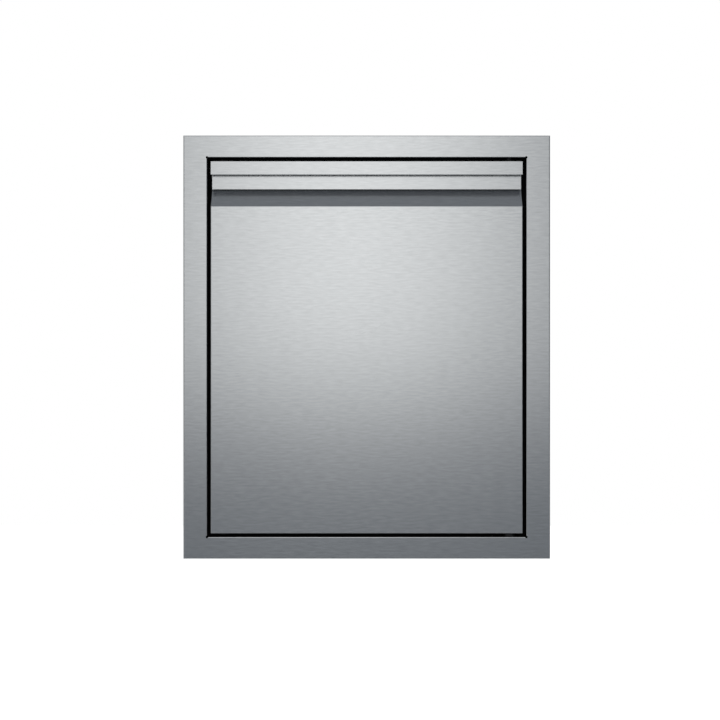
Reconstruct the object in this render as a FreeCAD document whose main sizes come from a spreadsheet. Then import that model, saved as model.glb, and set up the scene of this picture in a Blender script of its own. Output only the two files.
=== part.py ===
"""Single access door for a built-in outdoor kitchen: a folded steel face frame with a sleeve behind it,
and a flush door with a full-width pull lip, hung on two pins.

Millimetres. X is the width, Y points into the wall and Z up. The origin is the middle of the plane where
the frame's flange meets the wall, so the face and the closed door stand in front of it, at negative Y.
"""
import FreeCAD
import Part
import Sketcher
import math
import os
import re

DIMENSIONS = {
    # Face frame
    "frame_width": 457.4,
    "frame_height": 527.6,
    "flange_side": 29.7,
    "flange_end": 27.3,
    "flange_depth": 8.0,
    "face_sheet": 1.2,
    "face_bend": 1.5,
    "opening_bend": 0.8,
    "corner_relief": 3.0,
    "opening_return": 3.0,
    # Sleeve behind the face
    "sleeve_offset": 7.0,
    "sleeve_sheet": 1.2,
    "sleeve_depth": 62.0,
    "sleeve_tab": 14.0,
    "sleeve_return": 12.0,
    "corner_tab": 16.0,
    "corner_tab_depth": 11.0,
    "mount_hole": 5.0,
    "mount_spacing": 300.0,
    "mount_setback": 52.0,
    # Stops that the door closes against
    "stop_sheet": 1.5,
    "stop_leg": 14.0,
    "stop_overlap": 20.0,
    "swing_clearance": 1.7,
    "stop_rivet_inset": 40.0,
    # Blind rivets
    "rivet_shank": 4.0,
    "rivet_head": 7.5,
    "rivet_head_height": 1.3,
    "rivet_rounding": 0.9,
    # Door gaps and folded skin
    "side_gap": 4.8,
    "top_gap": 4.8,
    "bottom_gap": 4.5,
    "door_thick": 32.0,
    "door_sheet": 1.2,
    "door_bend": 0.6,
    "rear_flange": 10.0,
    # Pull lip and finger recess
    "lip_height": 16.9,
    "lip_return": 8.0,
    "lip_bend": 0.5,
    "recess_height": 39.85,
    "recess_wall": 16.8,
    "recess_depth": 15.5,
    "recess_bend": 2.0,
    # Inner panel of the door
    "liner_sheet": 1.0,
    "liner_inset": 1.0,
    "liner_border": 46.0,
    "liner_press": 5.0,
    "liner_corner": 14.0,
    "liner_screw_inset": 6.2,
    "liner_screw_bite": 4.0,
    # Hat stiffeners behind the skin
    "hat_spacing": 180.0,
    "hat_width": 30.0,
    "hat_flange": 12.0,
    "hat_height": 12.0,
    "hat_sheet": 1.0,
    "hat_end_gap": 16.0,
    # Hinge line, measured from the door's edge and from the return round the opening
    "pivot_inset": 16.0,
    "pivot_return_gap": 0.5,
    "bracket_plate": 4.0,
    "bracket_reach": 26.0,
    "bracket_depth": 30.0,
    "bracket_front_gap": 1.8,
    "bracket_screw_x": 18.5,
    "bracket_screw_front": 1.0,
    "bracket_screw_rear": 16.0,
    # Hinge pins, bushes and washer
    "upper_pin": 6.0,
    "upper_pin_collar_step": 2.5,
    "upper_pin_reach": 12.5,
    "upper_bush_wall": 2.0,
    "upper_bush_length": 13.0,
    "lower_pin": 8.0,
    "lower_bush_wall": 1.5,
    "lower_bush_length": 10.0,
    "bush_flange_step": 1.5,
    "bush_flange_thick": 1.5,
    "washer_thick": 1.5,
    "pin_lead": 1.0,
    "running_clearance": 0.05,
    "seat_clearance": 0.1,
    "side_clearance": 0.3,
    # Blocks behind the two ends of the lip
    "block_width": 34.0,
    "block_end_gap": 1.5,
    "block_wall": 2.5,
    "block_step": 2.5,
    "block_screw_x": 10.0,
    # Housing of the spring pin
    "housing_wall": 7.0,
    "housing_side_gap": 1.8,
    "housing_rear_wall": 6.0,
    "housing_height": 56.8,
    "chamber_step": 0.5,
    "collar_height": 7.0,
    "pin_stem": 6.0,
    "stem_guide": 2.0,
    "plug_depth": 6.0,
    "plug_flange_step": 2.0,
    "plug_flange_thick": 2.0,
    "housing_screw_x": 7.0,
    "housing_screw_gap": 0.6,
    "pin_stroke": 8.0,
    # Coil spring
    "spring_wire": 1.2,
    "spring_room": 0.8,
    "spring_turns": 8.0,
    # Release knob
    "stud": 4.0,
    "stud_depth": 3.5,
    "stud_slot_room": 0.5,
    "knob": 10.0,
    "knob_height": 4.5,
    "knob_rounding": 1.0,
    # Plugs of the spare hinge holes
    "hole_plug_depth": 6.0,
    # Magnetic catches and strike plates
    "catch_inset": 10.0,
    "catch_end_gap": 62.0,
    "catch_height": 46.0,
    "catch_width": 15.0,
    "catch_corner": 2.0,
    "catch_clearance": 0.3,
    "magnet_height": 18.0,
    "magnet_width": 6.0,
    "pole_thick": 1.5,
    "magnet_recess": 0.4,
    "catch_screw_spacing": 33.0,
    "strike_height": 42.0,
    "strike_width": 14.0,
    "strike_thick": 1.5,
    "strike_corner": 2.0,
    "strike_rivet_spacing": 30.0,
    "strike_rivet": 3.2,
    # Rubber bumpers
    "bumper": 11.0,
    "bumper_end_gap": 17.0,
    "bumper_rounding": 3.0,
    "bumper_stem": 5.0,
    "bumper_barb": 7.5,
    "bumper_barb_height": 2.5,
    "bumper_clearance": 0.3,
    # Machine screws
    "screw_shank": 4.0,
    "screw_head": 7.5,
    "screw_head_height": 2.2,
    "screw_rounding": 0.8,
    "screw_socket": 2.9,
    "screw_socket_depth": 1.3,
    "small_screw_shank": 3.0,
    "small_screw_head": 5.6,
    "small_screw_head_height": 1.6,
    "small_screw_rounding": 0.5,
    "small_screw_socket": 2.2,
    "small_screw_socket_depth": 0.9,
    "screw_bite": 6.0,
    "screw_fit": 0.05,
}

# Places and sizes worked out from the dimensions; a name here may use the names above it
WORKED_OUT = {
    "front": "-flange_depth",
    "face_back": "front + face_sheet",
    "open_x": "frame_width / 2 - flange_side",
    "open_z": "frame_height / 2 - flange_end",
    "sleeve_x": "open_x + sleeve_offset",
    "sleeve_z": "open_z + sleeve_offset",
    "sleeve_out_x": "sleeve_x + sleeve_sheet",
    "sleeve_out_z": "sleeve_z + sleeve_sheet",
    "return_front": "sleeve_depth - sleeve_sheet",
    "corner_rivet_y": "return_front - corner_tab_depth / 2",
    "door_x": "open_x - side_gap",
    "door_top": "open_z - top_gap",
    "door_low": "-open_z + bottom_gap",
    "door_back": "front + door_thick",
    "pan_back": "door_back - liner_sheet",
    "pan_top": "door_top - door_sheet",
    "pan_in_x": "door_x - door_sheet",
    "pan_in_low": "door_low + door_sheet",
    "pan_in_top": "pan_top - door_sheet",
    "pan_in_front": "front + door_sheet",
    "flange_front": "pan_back - door_sheet",
    "window_x": "pan_in_x - rear_flange",
    "window_low": "pan_in_low + rear_flange",
    "window_top": "pan_in_top - rear_flange",
    "lip_low": "door_top - lip_height",
    "recess_back": "front + recess_depth",
    "recess_low": "lip_low - recess_height",
    "crease": "lip_low - recess_wall",
    "slope_rise": "crease - recess_low",
    "slope_shift": "door_sheet * (sqrt(recess_depth ^ 2 + slope_rise ^ 2) - slope_rise) / recess_depth",
    "liner_x": "door_x - liner_inset",
    "liner_low": "door_low + liner_inset",
    "liner_top": "door_top - liner_inset",
    "press_x": "door_x - liner_border",
    "press_low": "door_low + liner_border",
    "press_top": "door_top - liner_border",
    "screw_row_x": "pan_in_x - liner_screw_inset",
    "screw_row_low": "pan_in_low + liner_screw_inset",
    "screw_row_top": "pan_in_top - liner_screw_inset",
    "screw_row_mid": "(screw_row_low + screw_row_top) / 2",
    "screw_row_sixth": "(screw_row_top - screw_row_low) / 6",
    "upper_bush": "upper_pin + 2 * upper_bush_wall",
    "upper_flange": "upper_bush + 2 * bush_flange_step",
    "lower_bush": "lower_pin + 2 * lower_bush_wall",
    "lower_flange": "lower_bush + 2 * bush_flange_step",
    "upper_pin_collar": "upper_pin + 2 * upper_pin_collar_step",
    "hinge_x": "door_x - pivot_inset",
    "hinge_y": "front + opening_return + pivot_return_gap + lower_flange / 2",
    "corner_swing": "sqrt(pivot_inset ^ 2 + (door_back - hinge_y) ^ 2)",
    "stop_front": "hinge_y + corner_swing + swing_clearance",
    "stop_back": "stop_front + stop_sheet",
    "stop_gap": "stop_front - door_back",
    "stop_in_x": "door_x - stop_overlap",
    "stop_in_top": "door_top - stop_overlap",
    "stop_in_low": "door_low + stop_overlap",
    "stop_rivet_y": "(stop_back + stop_front + stop_leg) / 2",
    "bracket_front": "face_back + bracket_front_gap",
    "bracket_in_x": "hinge_x - bracket_reach",
    "bracket_out_x": "sleeve_x - side_clearance",
    "bracket_face": "sleeve_z - bracket_plate",
    "washer_low": "-bracket_face + bush_flange_thick",
    "washer_top": "washer_low + washer_thick",
    "spacer_low": "washer_top + seat_clearance",
    "bush_seat": "pan_in_low + lower_bush_length",
    "collar_low": "bush_seat + seat_clearance",
    "collar_top": "collar_low + collar_height",
    "stud_z": "collar_low + collar_height / 2",
    "chamber": "lower_bush + 2 * chamber_step",
    "collar": "chamber - 2 * side_clearance",
    "plug_flange": "chamber + 2 * plug_flange_step",
    "spring_mean": "chamber - 2 * spring_room - spring_wire",
    "housing_in_x": "hinge_x - chamber / 2 - housing_wall",
    "housing_out_x": "pan_in_x - housing_side_gap",
    "housing_screw_reach": "lower_flange / 2 + screw_head / 2 + housing_screw_gap",
    "housing_screw_y": "sqrt(housing_screw_reach ^ 2 - housing_screw_x ^ 2)",
    "foot_screw_x": "housing_in_x - screw_head",
    "housing_rear": "chamber / 2 + housing_rear_wall",
    "housing_top": "pan_in_low + housing_height",
    "housing_front": "pan_in_front + side_clearance",
    "housing_back": "hinge_y + housing_rear",
    "plug_low": "housing_top - plug_depth",
    "block_low": "lip_low + door_sheet",
    "block_front": "pan_in_front + seat_clearance",
    "block_back": "max(recess_back + block_step; hinge_y + upper_bush / 2 + block_wall)",
    "block_out_x": "door_x - block_end_gap",
    "catch_x": "door_x - catch_inset",
    "catch_upper": "stop_in_top - catch_end_gap",
    "catch_lower": "stop_in_low + catch_end_gap",
    "bumper_upper": "stop_in_top - bumper_end_gap",
    "bumper_lower": "stop_in_low + bumper_end_gap",
    "strike_back": "door_back + strike_thick",
    "catch_front": "strike_back + catch_clearance",
    "catch_window_x": "magnet_width + 2 * pole_thick + 2 * seat_clearance",
    "bumper_height": "stop_gap - bumper_clearance",
}

doc = FreeCAD.newDocument("single_access_door")
sheet = doc.addObject("Spreadsheet::Sheet", "dims")
for row, (alias, number) in enumerate(DIMENSIONS.items(), start=1):
    sheet.set(f"A{row}", alias)
    sheet.set(f"B{row}", str(number))
    sheet.setAlias(f"B{row}", alias)
doc.recompute()


def bound(formula):
    """Write a formula out in the sheet's own cells."""
    def cell(match):
        word = match.group(0)
        if word in WORKED_OUT:
            return "(" + bound(WORKED_OUT[word]) + ")"
        if word in DIMENSIONS:
            return "dims." + word
        return word
    return re.sub(r"[a-z_]+", cell, str(formula))


def value(formula):
    """The present size of a formula, in millimetres."""
    return float(sheet.evalExpression(bound(formula)))


# For each sketch plane: the origin plane's role, whether its normal points along the plus axis, and that axis
PLANES = {"XY": ("XY_Plane", True, 2), "XZ": ("XZ_Plane", False, 1), "YZ": ("YZ_Plane", True, 0)}
NODES = []


def new_body(label):
    body = doc.addObject("PartDesign::Body", label)
    body.Label = label
    NODES.append(body)
    return body


def new_sketch(body, plane, level="0"):
    """A sketch square to one axis, at that level on the axis."""
    role, plus, _ = PLANES[plane]
    sketch = body.newObject("Sketcher::SketchObject", f"{body.Name}_sketch")
    sketch.AttachmentSupport = [(next(f for f in body.Origin.OriginFeatures if f.Role == role), "")]
    sketch.MapMode = "FlatFace"
    sketch.setExpression("AttachmentOffset.Base.z", bound(level if plus else f"-({level})"))
    return sketch


def fix_point(sketch, geometry, point, across, up):
    """Tie a point of the sketch to its place from the sketch's origin."""
    for kind, formula in (("DistanceX", across), ("DistanceY", up)):
        constraint = Sketcher.Constraint(kind, -1, 1, geometry, point, value(formula))
        index = sketch.addConstraint(constraint)
        sketch.setExpression(f"Constraints[{index}]", bound(formula))


def outline(sketch, points):
    """A closed outline of straight lines through the points."""
    corners = [FreeCAD.Vector(value(across), value(up), 0) for across, up in points]
    first = sketch.GeometryCount
    count = len(corners)
    for k in range(count):
        sketch.addGeometry(Part.LineSegment(corners[k], corners[(k + 1) % count]), False)
    for k in range(count):
        sketch.addConstraint(Sketcher.Constraint("Coincident", first + k, 2, first + (k + 1) % count, 1))
    for k, (across, up) in enumerate(points):
        fix_point(sketch, first + k, 1, across, up)


def rectangle(sketch, low_x, high_x, low_y, high_y):
    outline(sketch, [(low_x, low_y), (high_x, low_y), (high_x, high_y), (low_x, high_y)])


def circle(sketch, across, up, diameter):
    centre = FreeCAD.Vector(value(across), value(up), 0)
    index = sketch.addGeometry(Part.Circle(centre, FreeCAD.Vector(0, 0, 1), value(diameter) / 2), False)
    size = sketch.addConstraint(Sketcher.Constraint("Diameter", index, value(diameter)))
    sketch.setExpression(f"Constraints[{size}]", bound(diameter))
    fix_point(sketch, index, 3, across, up)


def hexagon(sketch, across, up, width):
    """A socket of that width across its corners."""
    corners = []
    for turn in (math.radians(60 * k) for k in range(6)):
        step_across = f"{width} / 2 * {math.cos(turn):.6f}"
        step_up = f"{width} / 2 * {math.sin(turn):.6f}"
        corners.append((f"{across} + {step_across}", f"{up} + {step_up}"))
    outline(sketch, corners)


def plane_of(sketch):
    role = sketch.AttachmentSupport[0][0].Role
    return next(name for name, plane in PLANES.items() if plane[0] == role)


def settle(feature):
    """Work the model out again and stop if the new feature failed."""
    doc.recompute()
    if "Invalid" in feature.State or "Error" in feature.State or feature.Shape.isNull():
        raise RuntimeError(f"{feature.Name} failed: {feature.State}")
    return feature


def pad(body, sketch, length, plus=True):
    """Thicken a sketch along the plus or the minus way of its axis."""
    feature = body.newObject("PartDesign::Pad", f"{body.Name}_pad")
    feature.Profile = sketch
    feature.setExpression("Length", bound(length))
    feature.Reversed = plus != PLANES[plane_of(sketch)][1]
    return settle(feature)


def cut(body, sketch, length, plus=True):
    """Cut a sketch into the body along the plus or the minus way of its axis."""
    before = body.Shape.Volume
    feature = body.newObject("PartDesign::Pocket", f"{body.Name}_cut")
    feature.Profile = sketch
    feature.setExpression("Length", bound(length))
    feature.Reversed = plus == PLANES[plane_of(sketch)][1]
    settle(feature)
    if body.Shape.Volume >= before:
        raise RuntimeError(f"a cut in {body.Label} removes nothing")
    return feature


def fillet(body, radius, wanted):
    """Round the edges that the test picks."""
    base = body.Tip
    names = [f"Edge{k}" for k, edge in enumerate(base.Shape.Edges, start=1) if wanted(edge)]
    if not names:
        raise RuntimeError(f"no edge to round in {body.Label}")
    feature = body.newObject("PartDesign::Fillet", f"{body.Name}_bend")
    feature.Base = (base, names)
    feature.setExpression("Radius", bound(radius))
    return settle(feature)


def near(number, formula):
    return abs(number - value(formula)) < 1e-4


def along(edge, axis):
    """True for a straight edge along that axis."""
    ends = [vertex.Point for vertex in edge.Vertexes]
    if len(ends) != 2 or not isinstance(edge.Curve, Part.Line):
        return False
    step = ends[1] - ends[0]
    return abs(abs(step[axis]) - step.Length) < 1e-6


def turned(label, section, x="0", y="0", z="0", tilt=0.0):
    """A turned piece: its half section as (radius, height), spun about its own upright axis.

    The tilt, in degrees, leans that axis about X: minus 90 lays it along plus Y, 90 along minus Y."""
    body = new_body(label)
    sketch = new_sketch(body, "XZ")
    outline(sketch, section)
    spin = body.newObject("PartDesign::Revolution", f"{label}_spin")
    spin.Profile = sketch
    spin.ReferenceAxis = (sketch, ["V_Axis"])
    spin.Angle = 360.0
    body.Placement = FreeCAD.Placement(FreeCAD.Vector(), FreeCAD.Rotation(FreeCAD.Vector(1, 0, 0), tilt))
    for axis, formula in (("x", x), ("y", y), ("z", z)):
        body.setExpression(f"Placement.Base.{axis}", bound(formula))
    doc.recompute()
    return body


def fasteners(label, rows, kind):
    """A group of like fasteners. A row is (plane, seat level, +1 or -1 for the way its heads point,
    shank length, points); kind is "rivet", "screw" or "small_screw"."""
    body = new_body(label)
    for plane, seat, way, length, points in rows:
        heads = new_sketch(body, plane, seat)
        for across, up in points:
            circle(heads, across, up, f"{kind}_head")
        pad(body, heads, f"{kind}_head_height", way > 0)
        shanks = new_sketch(body, plane, seat)
        for across, up in points:
            circle(shanks, across, up, f"{kind}_shank")
        pad(body, shanks, length, way < 0)
    tops = [(PLANES[plane][2], f"{seat} + {way} * {kind}_head_height") for plane, seat, way, *_ in rows]

    def head_rim(edge):
        if not isinstance(edge.Curve, Part.Circle) or not near(edge.Curve.Radius, f"{kind}_head / 2"):
            return False
        return any(near(edge.Curve.Center[axis], top) for axis, top in tops)
    fillet(body, f"{kind}_rounding", head_rim)
    if kind == "rivet":
        return body
    for plane, seat, way, length, points in rows:
        sockets = new_sketch(body, plane, f"{seat} + {way} * {kind}_head_height")
        for across, up in points:
            hexagon(sockets, across, up, f"{kind}_socket")
        cut(body, sockets, f"{kind}_socket_depth", way < 0)
    return body


# Points where the fasteners go, each list used for the holes and for the fasteners in them
STOP_RIVET_RISE = [f"{way} * (stop_in_top - stop_rivet_inset)" for way in (-1, 1)] + ["0"]
STOP_RIVET_ACROSS = [f"{way} * (stop_in_x - stop_rivet_inset)" for way in (-1, 1)] + ["0"]
SIDE_STOP_RIVETS = [("stop_rivet_y", rise) for rise in STOP_RIVET_RISE]
END_STOP_RIVETS = [(across, "stop_rivet_y") for across in STOP_RIVET_ACROSS]
CORNER_RIVETS = [(f"{way} * (sleeve_x - corner_tab / 2)", "corner_rivet_y") for way in (-1, 1)]
BRACKET_SCREW_OFFSETS = [(f"{way} * bracket_screw_x", step)
                         for way in (-1, 1)
                         for step in ("-bracket_screw_front", "bracket_screw_rear")]
BRACKET_SCREWS = [(f"hinge_x + {across}", f"hinge_y + {back}") for across, back in BRACKET_SCREW_OFFSETS]
SPARE_BRACKET_HOLES = [(f"-(hinge_x + {across})", f"hinge_y + {back}")
                       for across, back in BRACKET_SCREW_OFFSETS]
BLOCK_SCREWS = [(f"{side} * (hinge_x + {way} * block_screw_x)", "hinge_y")
                for side in (-1, 1)
                for way in (-1, 1)]
HOUSING_SCREWS = [(f"hinge_x + {way} * housing_screw_x", "hinge_y + housing_screw_y") for way in (-1, 1)]
LINER_SIDE_RISE = [f"screw_row_mid + {step} * screw_row_sixth" for step in (-1, 1, 3)]
LINER_SCREWS = [(f"{side} * screw_row_x", rise) for side in (-1, 1) for rise in LINER_SIDE_RISE]
LINER_SCREWS += [(f"{side} * foot_screw_x", "screw_row_low") for side in (-1, 0, 1)]
LINER_SCREWS += [("0", "screw_row_top")]
CATCH_LEVELS = ("catch_lower", "catch_upper")
STRIKE_RIVETS = [("-catch_x", f"{level} + {way} * strike_rivet_spacing / 2")
                 for level in CATCH_LEVELS
                 for way in (-1, 1)]
CATCH_SCREWS = [("-catch_x", f"{level} + {way} * catch_screw_spacing / 2")
                for level in CATCH_LEVELS
                for way in (-1, 1)]


def holes(body, plane, level, points, diameter, length, plus=True):
    sketch = new_sketch(body, plane, level)
    for across, up in points:
        circle(sketch, across, up, diameter)
    cut(body, sketch, length, plus)


# Face frame: one sheet with its outer edges turned back to the wall and a short return round the opening
face_frame = new_body("face_frame")
blank = new_sketch(face_frame, "XZ", "front")
rectangle(blank, "-frame_width / 2", "frame_width / 2", "-frame_height / 2", "frame_height / 2")
rectangle(blank, "-open_x", "open_x", "-open_z", "open_z")
pad(face_frame, blank, "flange_depth")


def outer_fold(edge):
    """The front edges round the outside."""
    ends = [vertex.Point for vertex in edge.Vertexes]
    at_rim = [near(abs(end.x), "frame_width / 2") and near(abs(end.z), "frame_height / 2") for end in ends]
    return all(at_rim) and all(near(end.y, "front") for end in ends)


def opening_fold(edge):
    """The front edges round the opening."""
    ends = [vertex.Point for vertex in edge.Vertexes]
    at_opening = [near(abs(end.x), "open_x") and near(abs(end.z), "open_z") for end in ends]
    return all(at_opening) and all(near(end.y, "front") for end in ends)


fillet(face_frame, "face_bend", outer_fold)
fillet(face_frame, "opening_bend", opening_fold)
hollow = new_sketch(face_frame, "XZ", "face_back")
rectangle(hollow, "-(frame_width / 2 - face_sheet)", "frame_width / 2 - face_sheet",
          "-(frame_height / 2 - face_sheet)", "frame_height / 2 - face_sheet")
rectangle(hollow, "-(open_x + face_sheet)", "open_x + face_sheet",
          "-(open_z + face_sheet)", "open_z + face_sheet")
cut(face_frame, hollow, "flange_depth")
trim = new_sketch(face_frame, "XZ", "front + opening_return")
rectangle(trim, "-(open_x + 2 * face_sheet)", "open_x + 2 * face_sheet",
          "-(open_z + 2 * face_sheet)", "open_z + 2 * face_sheet")
cut(face_frame, trim, "flange_depth")
RELIEFS = [(f"{side} * open_x", f"{end} * open_z") for side in (-1, 1) for end in (-1, 1)]
holes(face_frame, "XZ", "front", RELIEFS, "corner_relief", "opening_return")


def jamb(label, side):
    """Upright wall of the sleeve, with a tab welded behind the face, a rear return and two corner tabs."""
    body = new_body(label)
    section = new_sketch(body, "XY", "-sleeve_z")
    outline(section, [
        (f"{side} * sleeve_x", "face_back"),
        (f"{side} * (sleeve_x + sleeve_tab)", "face_back"),
        (f"{side} * (sleeve_x + sleeve_tab)", "face_back + sleeve_sheet"),
        (f"{side} * sleeve_out_x", "face_back + sleeve_sheet"),
        (f"{side} * sleeve_out_x", "sleeve_depth"),
        (f"{side} * sleeve_x", "sleeve_depth"),
    ])
    pad(body, section, "2 * sleeve_z")
    rear = new_sketch(body, "XY", "-(sleeve_z - sleeve_return)")
    rectangle(rear, f"{side} * (sleeve_x - sleeve_return)", f"{side} * sleeve_x",
              "return_front", "sleeve_depth")
    pad(body, rear, "2 * (sleeve_z - sleeve_return)")
    for end in (-1, 1):
        tab = new_sketch(body, "XY", f"{end} * sleeve_z")
        rectangle(tab, f"{side} * (sleeve_x - corner_tab)", f"{side} * sleeve_x",
                  "return_front - corner_tab_depth", "return_front - side_clearance")
        pad(body, tab, "sleeve_sheet", end < 0)
        tab_hole = [(f"{side} * (sleeve_x - corner_tab / 2)", "corner_rivet_y")]
        holes(body, "XY", f"{end} * sleeve_z", tab_hole, "rivet_shank", "sleeve_sheet", end < 0)
    through = f"{side} * sleeve_x"
    mount_points = [("mount_setback", f"{way} * mount_spacing / 2") for way in (-1, 1)]
    holes(body, "YZ", through, mount_points, "mount_hole", "sleeve_sheet", side > 0)
    holes(body, "YZ", through, SIDE_STOP_RIVETS, "rivet_shank", "sleeve_sheet", side > 0)
    return body


left_jamb = jamb("left_jamb", -1)
right_jamb = jamb("right_jamb", 1)


def cross_liner(label, end):
    """Level wall of the sleeve, over or under the door, which closes the ends of both jambs."""
    body = new_body(label)
    section = new_sketch(body, "YZ", "-sleeve_out_x")
    outline(section, [
        ("face_back", f"{end} * sleeve_z"),
        ("face_back", f"{end} * (sleeve_z + sleeve_tab)"),
        ("face_back + sleeve_sheet", f"{end} * (sleeve_z + sleeve_tab)"),
        ("face_back + sleeve_sheet", f"{end} * sleeve_out_z"),
        ("sleeve_depth", f"{end} * sleeve_out_z"),
        ("sleeve_depth", f"{end} * sleeve_z"),
    ])
    pad(body, section, "2 * sleeve_out_x")
    rear = new_sketch(body, "YZ", "-sleeve_x")
    rectangle(rear, "return_front", "sleeve_depth",
              f"{end} * (sleeve_z - sleeve_return)", f"{end} * sleeve_z")
    pad(body, rear, "2 * sleeve_x")
    inner = f"{end} * sleeve_z"
    holes(body, "XY", inner, CORNER_RIVETS + END_STOP_RIVETS, "rivet_shank", "sleeve_sheet", end > 0)
    screw_points = BRACKET_SCREWS + SPARE_BRACKET_HOLES
    holes(body, "XY", inner, screw_points, "screw_shank + 2 * screw_fit", "sleeve_sheet", end > 0)
    return body


head_liner = cross_liner("head_liner", 1)
sill_liner = cross_liner("sill_liner", -1)


def side_stop(label, side):
    """Upright stop angle, between the two level ones."""
    body = new_body(label)
    section = new_sketch(body, "XY", "stop_in_low")
    outline(section, [
        (f"{side} * sleeve_x", "stop_front"),
        (f"{side} * sleeve_x", "stop_front + stop_leg"),
        (f"{side} * (sleeve_x - stop_sheet)", "stop_front + stop_leg"),
        (f"{side} * (sleeve_x - stop_sheet)", "stop_back"),
        (f"{side} * stop_in_x", "stop_back"),
        (f"{side} * stop_in_x", "stop_front"),
    ])
    pad(body, section, "stop_in_top - stop_in_low")
    leg_face = f"{side} * (sleeve_x - stop_sheet)"
    holes(body, "YZ", leg_face, SIDE_STOP_RIVETS, "rivet_shank", "stop_sheet", side > 0)
    return body


left_stop = side_stop("left_stop", -1)
right_stop = side_stop("right_stop", 1)
BUMPER_POINTS = [("-catch_x", level) for level in ("bumper_lower", "bumper_upper")]
holes(left_stop, "XZ", "stop_front", CATCH_SCREWS, "small_screw_shank + 2 * screw_fit", "stop_sheet")
holes(left_stop, "XZ", "stop_front", BUMPER_POINTS, "bumper_stem", "stop_sheet")


def cross_stop(label, end, inner):
    """Level stop angle, the full width of the sleeve."""
    body = new_body(label)
    section = new_sketch(body, "YZ", "-sleeve_x")
    outline(section, [
        ("stop_front", f"{end} * sleeve_z"),
        ("stop_front + stop_leg", f"{end} * sleeve_z"),
        ("stop_front + stop_leg", f"{end} * (sleeve_z - stop_sheet)"),
        ("stop_back", f"{end} * (sleeve_z - stop_sheet)"),
        ("stop_back", inner),
        ("stop_front", inner),
    ])
    pad(body, section, "2 * sleeve_x")
    leg_face = f"{end} * (sleeve_z - stop_sheet)"
    holes(body, "XY", leg_face, END_STOP_RIVETS, "rivet_shank", "stop_sheet", end > 0)
    return body


top_stop = cross_stop("top_stop", 1, "stop_in_top")
bottom_stop = cross_stop("bottom_stop", -1, "stop_in_low")

# Blind rivets, each through two sheets and flush outside the sleeve
fasteners("corner_rivets",
          [("XY", f"{end} * (sleeve_z - sleeve_sheet)", -end, "2 * sleeve_sheet", CORNER_RIVETS)
           for end in (-1, 1)], "rivet")
fasteners("stop_rivets",
          [("YZ", f"{side} * (sleeve_x - stop_sheet)", -side, "stop_sheet + sleeve_sheet", SIDE_STOP_RIVETS)
           for side in (-1, 1)]
          + [("XY", f"{end} * (sleeve_z - stop_sheet)", -end, "stop_sheet + sleeve_sheet", END_STOP_RIVETS)
             for end in (-1, 1)], "rivet")


def hinge_bracket(label, end, pin_hole):
    """Plate screwed to the sleeve above or below the door's hinge corner."""
    body = new_body(label)
    plan = new_sketch(body, "XY", f"{end} * sleeve_z")
    rectangle(plan, "bracket_in_x", "bracket_out_x", "bracket_front", "bracket_front + bracket_depth")
    circle(plan, "hinge_x", "hinge_y", pin_hole)
    pad(body, plan, "bracket_plate", end < 0)
    seat = f"{end} * sleeve_z"
    holes(body, "XY", seat, BRACKET_SCREWS, "screw_shank + 2 * screw_fit", "bracket_plate", end < 0)
    return body


upper_hinge_bracket = hinge_bracket("upper_hinge_bracket", 1, "upper_pin")
lower_hinge_bracket = hinge_bracket("lower_hinge_bracket", -1, "lower_bush")
fasteners("hinge_bracket_screws",
          [("XY", f"{end} * bracket_face", -end, "bracket_plate + sleeve_sheet", BRACKET_SCREWS)
           for end in (-1, 1)], "screw")

# Fixed upper pin: pressed into its bracket up to a collar, with a lead at its tip
turned("upper_hinge_pin", [
    ("0", "door_top - upper_pin_reach"),
    ("upper_pin / 2 - pin_lead", "door_top - upper_pin_reach"),
    ("upper_pin / 2", "door_top - upper_pin_reach + pin_lead"),
    ("upper_pin / 2", "bracket_face - bush_flange_thick"),
    ("upper_pin_collar / 2", "bracket_face - bush_flange_thick"),
    ("upper_pin_collar / 2", "bracket_face"),
    ("upper_pin / 2", "bracket_face"),
    ("upper_pin / 2", "sleeve_z"),
    ("0", "sleeve_z"),
], x="hinge_x", y="hinge_y")


def flanged_bush(label, place, low, step, top, flange_low=False):
    """Plain bush for the upper or lower pin, with a flange above its step, or below it."""
    barrel, flange = f"{place}_bush / 2", f"{place}_flange / 2"
    below, above = (flange, barrel) if flange_low else (barrel, flange)
    bore = f"{place}_pin / 2 + running_clearance"
    return turned(label, [(bore, low), (below, low), (below, step), (above, step), (above, top), (bore, top)],
                  x="hinge_x", y="hinge_y")


flanged_bush("lower_bracket_bush", "lower", "-sleeve_z", "-bracket_face", "washer_low")
turned("thrust_washer", [
    ("lower_pin / 2 + side_clearance", "washer_low"),
    ("lower_flange / 2", "washer_low"),
    ("lower_flange / 2", "washer_top"),
    ("lower_pin / 2 + side_clearance", "washer_top"),
], x="hinge_x", y="hinge_y")


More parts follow.
